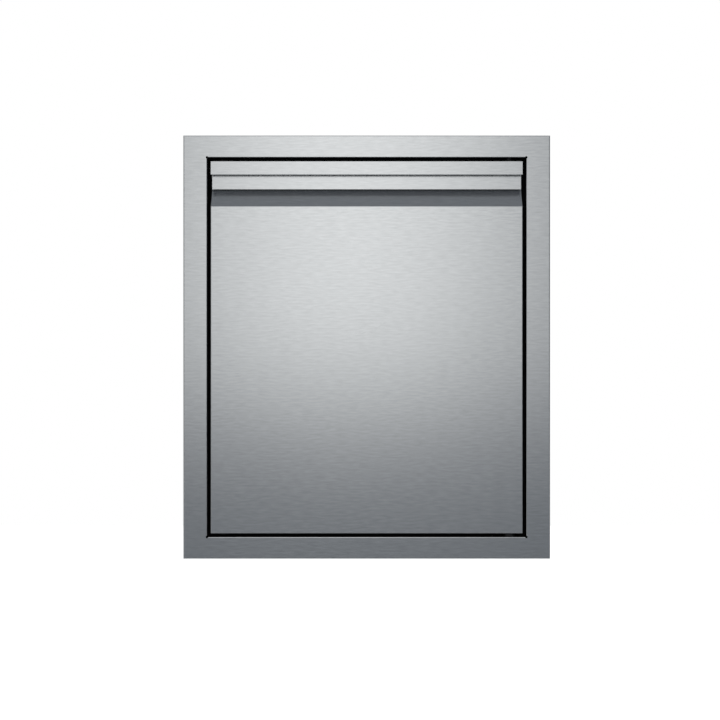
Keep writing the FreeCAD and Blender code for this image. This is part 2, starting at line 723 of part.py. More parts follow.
def catch(prefix, middle):
    """Thin magnetic catch on the front of the latch-side stop: a moulded case round a magnet."""
    body = new_body(f"{prefix}_catch_housing")
    plan = new_sketch(body, "XZ", "catch_front")
    rectangle(plan, "-catch_x - catch_width / 2", "-catch_x + catch_width / 2",
              f"{middle} - catch_height / 2", f"{middle} + catch_height / 2")
    rectangle(plan, "-catch_x - catch_window_x / 2", "-catch_x + catch_window_x / 2",
              f"{middle} - magnet_height / 2 - seat_clearance",
              f"{middle} + magnet_height / 2 + seat_clearance")
    pad(body, plan, "stop_front - catch_front")
    points = [("-catch_x", f"{middle} + {way} * catch_screw_spacing / 2") for way in (-1, 1)]
    holes(body, "XZ", "catch_front", points, "small_screw_shank + 2 * screw_fit", "stop_front - catch_front")
    head_room = "small_screw_head + 2 * side_clearance"
    holes(body, "XZ", "catch_front", points, head_room, "small_screw_head_height + seat_clearance")

    def case_corner(edge):
        outer = ("-catch_x - catch_width / 2", "-catch_x + catch_width / 2")
        return along(edge, 1) and any(near(edge.Vertexes[0].X, place) for place in outer)
    fillet(body, "catch_corner", case_corner)

    magnet = new_body(f"{prefix}_catch_magnet")
    bar = new_sketch(magnet, "XZ", "catch_front + magnet_recess")
    rectangle(bar, "-catch_x - magnet_width / 2", "-catch_x + magnet_width / 2",
              f"{middle} - magnet_height / 2", f"{middle} + magnet_height / 2")
    pad(magnet, bar, "stop_front - catch_front - magnet_recess")


catch("upper", "catch_upper")
catch("lower", "catch_lower")
catch_pole_plates = new_body("catch_pole_plates")
poles = new_sketch(catch_pole_plates, "XZ", "catch_front")
for level in CATCH_LEVELS:
    for way in (-1, 1):
        rectangle(poles, f"-catch_x + {way} * magnet_width / 2",
                  f"-catch_x + {way} * (magnet_width / 2 + pole_thick)",
                  f"{level} - magnet_height / 2", f"{level} + magnet_height / 2")
pad(catch_pole_plates, poles, "stop_front - catch_front")
CATCH_SCREW_SEAT = "catch_front + small_screw_head_height + seat_clearance"
fasteners("catch_screws",
          [("XZ", CATCH_SCREW_SEAT, -1, f"stop_back - ({CATCH_SCREW_SEAT})", CATCH_SCREWS)], "small_screw")


def door_bumper(label, level):
    """Rubber bumper with a push-in stem, its axis towards the door."""
    body = turned(label, [
        ("0", "-stop_sheet - bumper_barb_height"),
        ("bumper_stem / 2 - pin_lead", "-stop_sheet - bumper_barb_height"),
        ("bumper_barb / 2", "-stop_sheet"),
        ("bumper_stem / 2", "-stop_sheet"),
        ("bumper_stem / 2", "0"),
        ("bumper / 2", "0"),
        ("bumper / 2", "bumper_height"),
        ("0", "bumper_height"),
    ], x="-catch_x", y="stop_front", z=level, tilt=90.0)

    def dome_rim(edge):
        if not isinstance(edge.Curve, Part.Circle):
            return False
        return near(edge.Curve.Radius, "bumper / 2") and near(edge.Curve.Center.z, "bumper_height")
    fillet(body, "bumper_rounding", dome_rim)


door_bumper("upper_door_bumper", "bumper_upper")
door_bumper("lower_door_bumper", "bumper_lower")

# Door skin: a pan folded from one sheet, with the recess slope and back wall across its top
door_skin = new_body("door_skin")
section = new_sketch(door_skin, "YZ", "-door_x")
outline(section, [
    ("front", "door_low"),
    ("front", "recess_low"),
    ("recess_back", "crease"),
    ("recess_back", "pan_top"),
    ("pan_back", "pan_top"),
    ("pan_back", "door_low"),
])
pad(door_skin, section, "2 * door_x")


def recess_fold(edge):
    """The two folds of the recess, across the door."""
    point = edge.Vertexes[0].Point
    panel_top = near(point.y, "front") and near(point.z, "recess_low")
    back_foot = near(point.y, "recess_back") and near(point.z, "crease")
    return along(edge, 0) and (panel_top or back_foot)


fillet(door_skin, "recess_bend", recess_fold)


def skin_rim(edge):
    """The front outline of the pan: bottom edge, bottom corners and both side edges up to the top."""
    ends = [vertex.Point for vertex in edge.Vertexes]
    at_side = all(near(abs(point.x), "door_x") for point in ends)
    at_back = all(near(point.y, "pan_back") for point in ends)
    at_top = all(near(point.z, "pan_top") for point in ends)
    at_foot = all(near(point.z, "door_low") for point in ends)
    if at_foot:
        return not at_back
    return at_side and not at_back and not at_top


fillet(door_skin, "door_bend", skin_rim)
cavity = new_sketch(door_skin, "YZ", "-pan_in_x")
outline(cavity, [
    ("pan_in_front", "pan_in_low"),
    ("pan_in_front", "recess_low - slope_shift"),
    ("recess_back + door_sheet", "crease - slope_shift"),
    ("recess_back + door_sheet", "pan_in_top"),
    ("flange_front", "pan_in_top"),
    ("flange_front", "pan_in_low"),
])
cut(door_skin, cavity, "2 * pan_in_x")
window = new_sketch(door_skin, "XZ", "flange_front")
rectangle(window, "-window_x", "window_x", "window_low", "window_top")
cut(door_skin, window, "door_sheet")
SCREW_HOLE = "screw_shank + 2 * screw_fit"
holes(door_skin, "XZ", "flange_front", LINER_SCREWS, SCREW_HOLE, "door_sheet")
holes(door_skin, "XZ", "flange_front", STRIKE_RIVETS, "strike_rivet", "door_sheet")
LOWER_HINGE_HOLES = [(f"{side} * hinge_x", "hinge_y") for side in (-1, 1)]
holes(door_skin, "XY", "door_low", LOWER_HINGE_HOLES, "lower_bush", "door_sheet")
holes(door_skin, "XY", "door_low", HOUSING_SCREWS, SCREW_HOLE, "door_sheet")
notches = new_sketch(door_skin, "XY", "block_low - seat_clearance")
for side in (-1, 1):
    rectangle(notches, f"{side} * (block_out_x - block_width - seat_clearance)",
              f"{side} * (block_out_x + seat_clearance)", "block_front", "block_back + seat_clearance")
cut(door_skin, notches, "lip_height")

# Pull lip: a strip folded over the top of the pan, down its front and back under itself
handle_lip = new_body("handle_lip")
fold = new_sketch(handle_lip, "YZ", "-door_x")
outline(fold, [
    ("front", "lip_low"),
    ("front", "door_top"),
    ("pan_back", "door_top"),
    ("pan_back", "pan_top"),
    ("pan_in_front", "pan_top"),
    ("pan_in_front", "block_low"),
    ("front + lip_return", "block_low"),
    ("front + lip_return", "lip_low"),
])
pad(handle_lip, fold, "2 * door_x")


def lip_fold(edge):
    """The two outside folds of the lip."""
    return along(edge, 0) and near(edge.Vertexes[0].Y, "front")


fillet(handle_lip, "lip_bend", lip_fold)
UPPER_HINGE_HOLES = [(f"{side} * hinge_x", "hinge_y") for side in (-1, 1)]
holes(handle_lip, "XY", "pan_top", UPPER_HINGE_HOLES, "upper_bush", "door_sheet")
holes(handle_lip, "XY", "pan_top", BLOCK_SCREWS, "small_screw_shank + 2 * screw_fit", "door_sheet")


def pivot_block(label, side):
    """Block behind one end of the lip, bored for the hinge bush or its plug."""
    body = new_body(label)
    plan = new_sketch(body, "XY", "block_low")
    rectangle(plan, f"{side} * (block_out_x - block_width)", f"{side} * block_out_x",
              "block_front", "block_back")
    circle(plan, f"{side} * hinge_x", "hinge_y", "upper_bush")
    pad(body, plan, "pan_top - block_low")
    points = [(f"{side} * (hinge_x + {way} * block_screw_x)", "hinge_y") for way in (-1, 1)]
    holes(body, "XY", "pan_top", points, "small_screw_shank + 2 * screw_fit", "screw_bite", False)


pivot_block("left_pivot_block", -1)
pivot_block("right_pivot_block", 1)
fasteners("pivot_block_screws",
          [("XY", "door_top", 1, "door_sheet + screw_bite", BLOCK_SCREWS)], "small_screw")
flanged_bush("upper_door_bush", "upper",
             "door_top - upper_bush_length", "door_top", "door_top + bush_flange_thick")


def hole_plug(label, place, level, way):
    """Plug of a spare hinge hole, its flange outside the door."""
    barrel, flange = f"{place}_bush / 2", f"{place}_flange / 2"
    turned(label, [
        ("0", f"{way} * -hole_plug_depth"),
        (f"{barrel} - pin_lead", f"{way} * -hole_plug_depth"),
        (barrel, f"{way} * (pin_lead - hole_plug_depth)"),
        (barrel, "0"),
        (flange, "0"),
        (flange, f"{way} * bush_flange_thick"),
        ("0", f"{way} * bush_flange_thick"),
    ], x="-hinge_x", y="hinge_y", z=level)


hole_plug("upper_hole_plug", "upper", "door_top", 1)
hole_plug("lower_hole_plug", "lower", "door_low", -1)

# Inner panel: a flat sheet over the back of the pan with a shallow pressed field
door_liner = new_body("door_liner")
panel = new_sketch(door_liner, "XZ", "pan_back")
rectangle(panel, "-liner_x", "liner_x", "liner_low", "liner_top")
pad(door_liner, panel, "liner_sheet")
tray = new_sketch(door_liner, "XZ", "pan_back")
rectangle(tray, "-press_x", "press_x", "press_low", "press_top")
pad(door_liner, tray, "liner_press", False)
field = new_sketch(door_liner, "XZ", "pan_back - liner_press + liner_sheet")
rectangle(field, "-(press_x - liner_sheet)", "press_x - liner_sheet",
          "press_low + liner_sheet", "press_top - liner_sheet")
cut(door_liner, field, "liner_press")


def upright_at(formula):
    """A test for the edges through the sheet at that distance to either side."""
    return lambda edge: along(edge, 1) and near(abs(edge.Vertexes[0].X), formula)


fillet(door_liner, "liner_corner - liner_sheet", upright_at("press_x - liner_sheet"))
fillet(door_liner, "liner_corner", upright_at("press_x"))
STUD_SLOT = ("hinge_x - stud / 2 - stud_slot_room", "hinge_x + stud / 2 + stud_slot_room",
             "stud_z - stud / 2 - stud_slot_room", "stud_z + pin_stroke + stud / 2 + stud_slot_room")
liner_slot = new_sketch(door_liner, "XZ", "pan_back")
rectangle(liner_slot, *STUD_SLOT)
cut(door_liner, liner_slot, "liner_sheet")
holes(door_liner, "XZ", "pan_back", LINER_SCREWS, SCREW_HOLE, "liner_sheet")
holes(door_liner, "XZ", "pan_back", STRIKE_RIVETS, "strike_rivet", "liner_sheet")
fasteners("liner_screws",
          [("XZ", "door_back", 1, "liner_sheet + door_sheet + liner_screw_bite", LINER_SCREWS)], "screw")


def stiffener(label, side):
    """Hat section bonded to the back of the skin's front."""
    body = new_body(label)
    middle = f"{side} * hat_spacing / 2"
    plan = new_sketch(body, "XY", "pan_in_low + hat_end_gap")
    crown = "pan_in_front + hat_height"
    outline(plan, [
        (f"{middle} - hat_width / 2 - hat_flange", "pan_in_front"),
        (f"{middle} - hat_width / 2 + hat_sheet", "pan_in_front"),
        (f"{middle} - hat_width / 2 + hat_sheet", f"{crown} - hat_sheet"),
        (f"{middle} + hat_width / 2 - hat_sheet", f"{crown} - hat_sheet"),
        (f"{middle} + hat_width / 2 - hat_sheet", "pan_in_front"),
        (f"{middle} + hat_width / 2 + hat_flange", "pan_in_front"),
        (f"{middle} + hat_width / 2 + hat_flange", "pan_in_front + hat_sheet"),
        (f"{middle} + hat_width / 2", "pan_in_front + hat_sheet"),
        (f"{middle} + hat_width / 2", crown),
        (f"{middle} - hat_width / 2", crown),
        (f"{middle} - hat_width / 2", "pan_in_front + hat_sheet"),
        (f"{middle} - hat_width / 2 - hat_flange", "pan_in_front + hat_sheet"),
    ])
    pad(body, plan, "recess_low - slope_shift - pan_in_low - 2 * hat_end_gap")


stiffener("left_stiffener", -1)
stiffener("right_stiffener", 1)


def strike_plate(label, middle):
    """Steel plate on the back of the door that the magnet holds."""
    body = new_body(label)
    plan = new_sketch(body, "XZ", "door_back")
    rectangle(plan, "-catch_x - strike_width / 2", "-catch_x + strike_width / 2",
              f"{middle} - strike_height / 2", f"{middle} + strike_height / 2")
    pad(body, plan, "strike_thick")
    fillet(body, "strike_corner", lambda edge: along(edge, 1))
    points = [("-catch_x", f"{middle} + {way} * strike_rivet_spacing / 2") for way in (-1, 1)]
    holes(body, "XZ", "door_back", points, "strike_rivet", "strike_thick")


strike_plate("upper_strike_plate", "catch_upper")
strike_plate("lower_strike_plate", "catch_lower")
strike_rivets = new_body("strike_rivets")
pegs = new_sketch(strike_rivets, "XZ", "flange_front")
for across, up in STRIKE_RIVETS:
    circle(pegs, across, up, "strike_rivet")
pad(strike_rivets, pegs, "strike_back - flange_front")

# Lower hinge of the door: a bush that spaces the door off the washer, and the housing of the spring pin
flanged_bush("lower_door_bush", "lower", "spacer_low", "door_low", "bush_seat", flange_low=True)
pin_housing = new_body("pin_housing")
plan = new_sketch(pin_housing, "XY", "pan_in_low")
rectangle(plan, "housing_in_x", "housing_out_x", "housing_front", "housing_back")
pad(pin_housing, plan, "housing_height")
HINGE_POINT = [("hinge_x", "hinge_y")]
holes(pin_housing, "XY", "pan_in_low", HINGE_POINT, "lower_bush", "lower_bush_length")
holes(pin_housing, "XY", "bush_seat", HINGE_POINT, "chamber", "housing_top - bush_seat")
holes(pin_housing, "XY", "pan_in_low", HOUSING_SCREWS, SCREW_HOLE, "screw_bite")
housing_slot = new_sketch(pin_housing, "XZ", "hinge_y")
rectangle(housing_slot, *STUD_SLOT)
cut(pin_housing, housing_slot, "housing_rear")
fasteners("housing_screws", [("XY", "door_low", -1, "door_sheet + screw_bite", HOUSING_SCREWS)], "screw")
turned("housing_plug", [
    ("pin_stem / 2 + seat_clearance", "plug_low"),
    ("chamber / 2", "plug_low"),
    ("chamber / 2", "housing_top"),
    ("plug_flange / 2", "housing_top"),
    ("plug_flange / 2", "housing_top + plug_flange_thick"),
    ("pin_stem / 2 + seat_clearance", "housing_top + plug_flange_thick"),
], x="hinge_x", y="hinge_y")

# Spring pin: a shaft that enters the bracket's bush, a collar under the spring and a guided stem
lower_hinge_pin = turned("lower_hinge_pin", [
    ("0", "-sleeve_z + side_clearance"),
    ("lower_pin / 2 - pin_lead", "-sleeve_z + side_clearance"),
    ("lower_pin / 2", "-sleeve_z + side_clearance + pin_lead"),
    ("lower_pin / 2", "collar_low"),
    ("collar / 2", "collar_low"),
    ("collar / 2", "collar_top"),
    ("pin_stem / 2", "collar_top"),
    ("pin_stem / 2", "plug_low + stem_guide"),
    ("0", "plug_low + stem_guide"),
], x="hinge_x", y="hinge_y")
holes(lower_hinge_pin, "XZ", "collar / 2 - stud_depth", [("0", "stud_z")], "stud", "stud_depth")
STUD_ROOT = "collar / 2 - stud_depth"
KNOB_SEAT = "door_back + seat_clearance + side_clearance - hinge_y"
release_knob = turned("release_knob", [
    ("0", STUD_ROOT),
    ("stud / 2", STUD_ROOT),
    ("stud / 2", KNOB_SEAT),
    ("knob / 2", KNOB_SEAT),
    ("knob / 2", f"{KNOB_SEAT} + knob_height"),
    ("0", f"{KNOB_SEAT} + knob_height"),
], x="hinge_x", y="hinge_y", z="stud_z", tilt=-90.0)
fillet(release_knob, "knob_rounding",
       lambda edge: isinstance(edge.Curve, Part.Circle) and near(edge.Curve.Radius, "knob / 2"))


def helix_point(radius, rise, turn):
    """A point of the spring's centre line and the way it runs there, after that many turns."""
    angle = 2 * math.pi * turn
    point = FreeCAD.Vector(radius * math.cos(angle), radius * math.sin(angle), rise * turn)
    way = FreeCAD.Vector(-radius * math.sin(angle), radius * math.cos(angle), rise / (2 * math.pi))
    return point, way.normalize()


def arc_to(start, apex, end):
    """The arc from start to end whose end tangents meet at the apex."""
    middle = (start + end) / 2
    half_chord = (end - start).Length / 2
    lift = apex - middle
    quarter_turn = math.atan2(lift.Length, half_chord) / 2
    top = middle + lift.normalize() * (half_chord * math.tan(quarter_turn))
    return Part.Arc(start, top, end).toShape()


def biarc(start, start_way, end, end_way):
    """Two arcs that leave start and reach end along the given ways."""
    chord = end - start
    both = start_way + end_way
    square = both.dot(both) - 4
    mixed = -2 * chord.dot(both)
    reach = (-mixed - math.sqrt(mixed ** 2 - 4 * square * chord.dot(chord))) / (2 * square)
    first = start + start_way * reach
    second = end - end_way * reach
    joint = (first + second) / 2
    return [arc_to(start, first, joint), arc_to(joint, second, end)]


# Coil spring round the pin's stem, one unbroken wire between the collar and the plug
wire = value("spring_wire")
coil = value("spring_mean") / 2
turns = value("spring_turns")
foot = value("collar_top + seat_clearance + spring_wire / 2")
crown = value("plug_low - seat_clearance - spring_wire / 2")
rise = (crown - foot) / turns
steps = [helix_point(coil, rise, k / 4) for k in range(int(round(turns * 4)) + 1)]
arcs = []
for (start, start_way), (end, end_way) in zip(steps, steps[1:]):
    arcs += biarc(start, start_way, end, end_way)
centre_line = Part.Wire(arcs)
wire_end = Part.Wire(Part.Circle(steps[0][0], steps[0][1], wire / 2).toShape())
pin_spring = doc.addObject("Part::Feature", "pin_spring")
pin_spring.Label = "pin_spring"
pin_spring.Shape = centre_line.makePipeShell([wire_end], True, False)
spring_foot = FreeCAD.Vector(value("hinge_x"), value("hinge_y"), foot)
pin_spring.Placement = FreeCAD.Placement(spring_foot, FreeCAD.Rotation())
NODES.append(pin_spring)
samples = [helix_point(coil, rise, k / 24)[0] for k in range(int(round(turns * 24)) + 1)]
spring_gap = min((samples[j] - samples[k]).Length - wire
                 for k in range(len(samples))
                 for j in range(k + 12, len(samples)))
print(f"pin_spring least gap between turns: {spring_gap:.2f} mm")

doc.recompute()
for item in doc.Objects:
    if "Invalid" in item.State or "Error" in item.State:
        raise RuntimeError(f"{item.Name} failed: {item.State}")
for node in NODES:
    if node.Shape.isNull() or not node.Shape.isValid() or not node.Shape.Solids:
        raise RuntimeError(f"{node.Label} has no valid solid")
os.makedirs("parts", exist_ok=True)
for node in NODES:
    node.Shape.exportStep(f"parts/{node.Label}.step")
    print(f"{node.Label}: {len(node.Shape.Solids)} solid(s), {node.Shape.Volume / 1000:.2f} cm3")
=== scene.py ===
"""Looks of the single access door: a brushed steel face frame and flush door with a full-width pull lip,
the sleeve, stops, hinges and catches behind them, and the studio round it. Metres, in the part's own frame:
X is the width, Y points into the wall, Z is up.
"""
import math

import bmesh
import bpy
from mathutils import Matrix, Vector


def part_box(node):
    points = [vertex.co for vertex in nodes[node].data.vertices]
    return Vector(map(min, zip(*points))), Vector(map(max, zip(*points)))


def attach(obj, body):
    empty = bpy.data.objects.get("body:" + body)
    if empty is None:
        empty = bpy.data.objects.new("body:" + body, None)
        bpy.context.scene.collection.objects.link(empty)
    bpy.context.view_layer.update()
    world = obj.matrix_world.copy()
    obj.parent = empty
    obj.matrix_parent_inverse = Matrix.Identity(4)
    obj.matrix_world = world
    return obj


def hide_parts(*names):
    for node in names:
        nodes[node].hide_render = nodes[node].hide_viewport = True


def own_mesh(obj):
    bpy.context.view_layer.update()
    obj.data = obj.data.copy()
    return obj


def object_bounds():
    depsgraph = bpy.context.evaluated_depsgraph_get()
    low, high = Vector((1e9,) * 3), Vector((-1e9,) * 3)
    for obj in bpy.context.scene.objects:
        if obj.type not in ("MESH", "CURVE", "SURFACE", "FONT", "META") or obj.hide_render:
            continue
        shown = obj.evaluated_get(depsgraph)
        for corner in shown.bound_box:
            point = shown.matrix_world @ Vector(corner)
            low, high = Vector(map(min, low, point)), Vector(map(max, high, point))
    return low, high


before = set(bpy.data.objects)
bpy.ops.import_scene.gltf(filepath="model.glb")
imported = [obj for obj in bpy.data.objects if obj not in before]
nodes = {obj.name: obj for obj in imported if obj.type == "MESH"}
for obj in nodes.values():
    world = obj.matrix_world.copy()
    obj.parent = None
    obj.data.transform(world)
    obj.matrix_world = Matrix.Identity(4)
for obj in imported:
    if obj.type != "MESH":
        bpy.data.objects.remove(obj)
cad_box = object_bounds()


# Face frame
# One sheet of stainless steel, ground with a belt so that fine lines run across it from side to side.
# Its outer edges are folded back to the wall, and a short return is folded in round the opening.
def add_node(tree, kind, inputs=None, **settings):
    """One node with its settings. An input takes a plain value, or the socket that feeds it."""
    node = tree.nodes.new(kind)
    for name, setting in settings.items():
        setattr(node, name, setting)
    for name, given in (inputs or {}).items():
        if isinstance(given, bpy.types.NodeSocket):
            tree.links.new(given, node.inputs[name])
        else:
            node.inputs[name].default_value = given
    return node


def sum_of(tree, operation, *values):
    """One step of arithmetic on sockets or numbers."""
    return add_node(tree, "ShaderNodeMath", dict(enumerate(values)), operation=operation).outputs[0]


def product(tree, first, *others):
    """Sockets or numbers multiplied in turn."""
    for other in others:
        first = sum_of(tree, "MULTIPLY", first, other)
    return first


def spread(tree, value, low, high, start=0.0, end=1.0, curve="LINEAR"):
    """Runs from start to end while the value runs from low to high, and stops there."""
    limits = {"Value": value, "From Min": low, "From Max": high, "To Min": start, "To Max": end}
    return add_node(tree, "ShaderNodeMapRange", limits, interpolation_type=curve).outputs["Result"]


def tint(tree, share, first, second):
    """A colour between two others, each a plain colour or a socket."""
    mix = add_node(tree, "ShaderNodeMix", data_type="RGBA")
    tree.links.new(share, mix.inputs["Factor"])
    for side, color in (("A", first), ("B", second)):
        if isinstance(color, bpy.types.NodeSocket):
            tree.links.new(color, mix.inputs[side])
        else:
            mix.inputs[side].default_value = (*color, 1.0)
    return mix.outputs["Result"]


def effect_group(name, inputs, outputs):
    """An empty effect with its named sockets: the tree, what comes in, and where to put what goes out."""
    tree = bpy.data.node_groups.new(name, "ShaderNodeTree")
    for socket, usual in inputs.items():
        made = tree.interface.new_socket(name=socket, in_out="INPUT", socket_type="NodeSocketFloat")
        made.default_value = usual
    for socket in outputs:
        tree.interface.new_socket(name=socket, in_out="OUTPUT", socket_type="NodeSocketFloat")
    return tree, tree.nodes.new("NodeGroupInput").outputs, tree.nodes.new("NodeGroupOutput").inputs


def place(tree, group, **values):
    """An effect placed in a material with its own values."""
    made = add_node(tree, "ShaderNodeGroup", node_tree=group)
    for name, number in values.items():
        made.inputs[name].default_value = number
    return made.outputs


# Lines of the grinding belt: they run level across upright faces and along X on level ones
LEVEL_FROM = 0.7
LINES_FINER = (1.0, 3.7)
FINE_LINE_SHARE = 0.5
belt_lines, belt_in, belt_out = effect_group(
    "belt_lines", {"Length": 0.02, "Width": 0.0018, "Start": 0.0}, ["Line", "Relief"])
spot = add_node(belt_lines, "ShaderNodeTexCoord")
at = add_node(belt_lines, "ShaderNodeSeparateXYZ", {"Vector": spot.outputs["Object"]}).outputs
facing = add_node(belt_lines, "ShaderNodeSeparateXYZ", {"Vector": spot.outputs["Normal"]}).outputs
lies_level = sum_of(belt_lines, "GREATER_THAN", sum_of(belt_lines, "ABSOLUTE", facing["Z"]), LEVEL_FROM)
stands = sum_of(belt_lines, "SUBTRACT", 1.0, lies_level)
along = sum_of(belt_lines, "MULTIPLY_ADD", at["Y"], stands, at["X"])
across = sum_of(belt_lines, "ADD", product(belt_lines, at["Z"], stands),
                product(belt_lines, at["Y"], lies_level))
along = sum_of(belt_lines, "DIVIDE", along, belt_in["Length"])
across = sum_of(belt_lines, "DIVIDE", across, belt_in["Width"])
lines = []
for finer in LINES_FINER:
    line_at = add_node(belt_lines, "ShaderNodeCombineXYZ", {
        "X": sum_of(belt_lines, "ADD", along, belt_in["Start"]),
        "Y": product(belt_lines, across, finer),
    })
    lines.append(add_node(belt_lines, "ShaderNodeTexNoise", {
        "Vector": line_at.outputs["Vector"], "Scale": 1.0, "Detail": 2.0, "Roughness": 0.55,
    }, noise_dimensions="2D").outputs["Fac"])
belt_lines.links.new(lines[0], belt_out["Line"])
both_lines = sum_of(belt_lines, "MULTIPLY_ADD", lines[1], FINE_LINE_SHARE, lines[0])
belt_lines.links.new(both_lines, belt_out["Relief"])

# Worn edges: brighter where a hand, a cloth or a tool has rubbed the corners of a piece. On the ground steel
# the lighter corners are also a painted edge highlight.
EDGE_STARTS = 0.98
EDGE_FULL = 0.78
RUBBED_PATCHES = (0.35, 0.6)
worn_and_highlit_edges, worn_in, worn_out = effect_group("worn_and_highlit_edges", {"Reach": 0.0008, "Grain": 0.004}, ["Worn"])
rounded = add_node(worn_and_highlit_edges, "ShaderNodeBevel", {"Radius": worn_in["Reach"]}, samples=4)
plain_normal = add_node(worn_and_highlit_edges, "ShaderNodeNewGeometry").outputs["Normal"]
likeness = add_node(worn_and_highlit_edges, "ShaderNodeVectorMath",
                    {0: rounded.outputs["Normal"], 1: plain_normal}, operation="DOT_PRODUCT")
corner = spread(worn_and_highlit_edges, likeness.outputs["Value"], EDGE_STARTS, EDGE_FULL)
patchy_spot = add_node(worn_and_highlit_edges, "ShaderNodeTexCoord").outputs["Object"]
patchy = add_node(worn_and_highlit_edges, "ShaderNodeTexNoise", {
    "Vector": patchy_spot, "Scale": sum_of(worn_and_highlit_edges, "DIVIDE", 1.0, worn_in["Grain"]), "Detail": 3.0,
})
worn_and_highlit_edges.links.new(
    product(worn_and_highlit_edges, corner, spread(worn_and_highlit_edges, patchy.outputs["Fac"], *RUBBED_PATCHES)),
    worn_out["Worn"])

# Mill side: the belt only reaches the outside, so faces that look into the part stay dull, and so do those
# that look down from above the height given as the ceiling. Their darker colour is partly the mill finish
# and partly painted shade inside and under the lip
LOOKS_IN_FROM = 0.3
LOOKS_DOWN_FROM = -0.5
NO_CEILING = 9.0
mill_side_and_shade, mill_in, mill_out = effect_group("mill_side_and_shade", {"Ceiling": NO_CEILING}, ["Mill"])
inner_spot = add_node(mill_side_and_shade, "ShaderNodeTexCoord").outputs
inner_at = add_node(mill_side_and_shade, "ShaderNodeSeparateXYZ", {"Vector": inner_spot["Object"]}).outputs
inner_facing = add_node(mill_side_and_shade, "ShaderNodeSeparateXYZ", {"Vector": inner_spot["Normal"]}).outputs
looks_in = sum_of(mill_side_and_shade, "GREATER_THAN", inner_facing["Y"], LOOKS_IN_FROM)
looks_down = sum_of(mill_side_and_shade, "LESS_THAN", inner_facing["Z"], LOOKS_DOWN_FROM)
shaded_ceiling = product(mill_side_and_shade, looks_down,
                     sum_of(mill_side_and_shade, "GREATER_THAN", inner_at["Z"], mill_in["Ceiling"]))
mill_side_and_shade.links.new(sum_of(mill_side_and_shade, "MAXIMUM", looks_in, shaded_ceiling), mill_out["Mill"])

# Handling marks: faint cloudy patches left by hands and wiping
handling, handling_in, handling_out = effect_group("handling_marks", {"Size": 0.09}, ["Mark"])
mark_spot = add_node(handling, "ShaderNodeTexCoord").outputs["Object"]
mark = add_node(handling, "ShaderNodeTexNoise", {
    "Vector": mark_spot, "Scale": sum_of(handling, "DIVIDE", 1.0, handling_in["Size"]), "Detail": 4.0,
    "Roughness": 0.6, "Distortion": 0.4,
})
handling.links.new(mark.outputs["Fac"], handling_out["Mark"])


def new_finish(name, plain):
    """A material with its shader, and the plain values set on the shader's own sockets."""
    material = bpy.data.materials.new(name)
    material.use_nodes = True
    shader = material.node_tree.nodes["Principled BSDF"].inputs
    for socket, number in plain.items():
        shader[socket].default_value = number
    return material, material.node_tree, shader


def feed(tree, source, socket):
    """Joins what varies over the surface to a socket of the shader."""
    tree.links.new(source, socket)


def relief(tree, height, depth, shader, strength=1.0):
    """Raises the surface by the height, at full scale that deep in metres."""
    bump = add_node(tree, "ShaderNodeBump", {"Height": height, "Distance": depth, "Strength": strength})
    feed(tree, bump.outputs["Normal"], shader["Normal"])


def varied(tree, mottle, start=0.0, end=1.0):
    """Runs from start to end over the range that a noise mostly fills."""
    return spread(tree, mottle, 0.3, 0.7, start, end)


def rubbed_smooth(tree, roughness, worn, share):
    """Roughness that falls to a share of itself on worn edges."""
    return product(tree, roughness, spread(tree, worn, 0.0, 1.0, 1.0, share))


def toned(color, share):
    """A plain colour made darker or lighter."""
    return tuple(part * share for part in color)


def dress(material, *names):
    """Gives CAD nodes a material."""
    for name in names:
        nodes[name].material_slots[0].material = material


FACE_STEEL = (0.645, 0.650, 0.655)
FACE_TONE = 0.066
FACE_ROUGHNESS = 0.16
FACE_ROUGHNESS_TONE = 0.02
BELT_LINE_RANGE = (0.2, 0.8)
BELT_LINE_DEPTH = 0.0000015
# Darker colour of the mill side: partly the mill finish, partly painted shade in the lip's pocket
MILL_AND_SHADE_STEEL = (0.40, 0.405, 0.41)
MILL_ROUGHNESS = 0.45


def ground_steel(name, start, ceiling=NO_CEILING):
    """Belt-ground stainless steel. Its lines lie along X, so highlights stretch up and down."""
    material, tree, shader = new_finish(name, {"Metallic": 1.0, "Anisotropic": 0.35})
    belt = place(tree, belt_lines, Length=0.014, Width=0.0022, Start=start)
    marks = place(tree, handling)
    worn = place(tree, worn_and_highlit_edges, Reach=0.0006, Grain=0.006)
    mill = place(tree, mill_side_and_shade, Ceiling=ceiling)
    ground = tint(tree, spread(tree, belt["Line"], *BELT_LINE_RANGE),
                  toned(FACE_STEEL, 1.0 - FACE_TONE), toned(FACE_STEEL, 1.0 + FACE_TONE))
    # Painted highlight: lighter colour on the corners, partly polished by wear
    polished = tint(tree, worn["Worn"], ground, toned(FACE_STEEL, 1.12))
    # Painted shade: inner faces and the lip's underside are darker, partly from the mill finish
    dull_and_shaded = tint(tree, marks["Mark"], MILL_AND_SHADE_STEEL, toned(MILL_AND_SHADE_STEEL, 0.8))
    feed(tree, tint(tree, mill["Mill"], polished, dull_and_shaded), shader["Base Color"])
    smoother = 1.0 - FACE_ROUGHNESS_TONE
    rougher = 1.0 + FACE_ROUGHNESS_TONE
    lined = spread(tree, belt["Line"], *BELT_LINE_RANGE, FACE_ROUGHNESS * smoother, FACE_ROUGHNESS * rougher)
    marked = product(tree, lined, varied(tree, marks["Mark"], smoother, rougher))
    rubbed = rubbed_smooth(tree, marked, worn["Worn"], 0.85)
    milled = product(tree, mill["Mill"], MILL_ROUGHNESS)
    feed(tree, sum_of(tree, "MAXIMUM", rubbed, milled), shader["Roughness"])
    relief(tree, belt["Relief"], BELT_LINE_DEPTH, shader)
    upright = add_node(tree, "ShaderNodeCombineXYZ", {"Y": 0.05, "Z": 1.0})
    feed(tree, upright.outputs["Vector"], shader["Tangent"])
    return material


dress(ground_steel("ground_face_steel", 0.0), "face_frame")


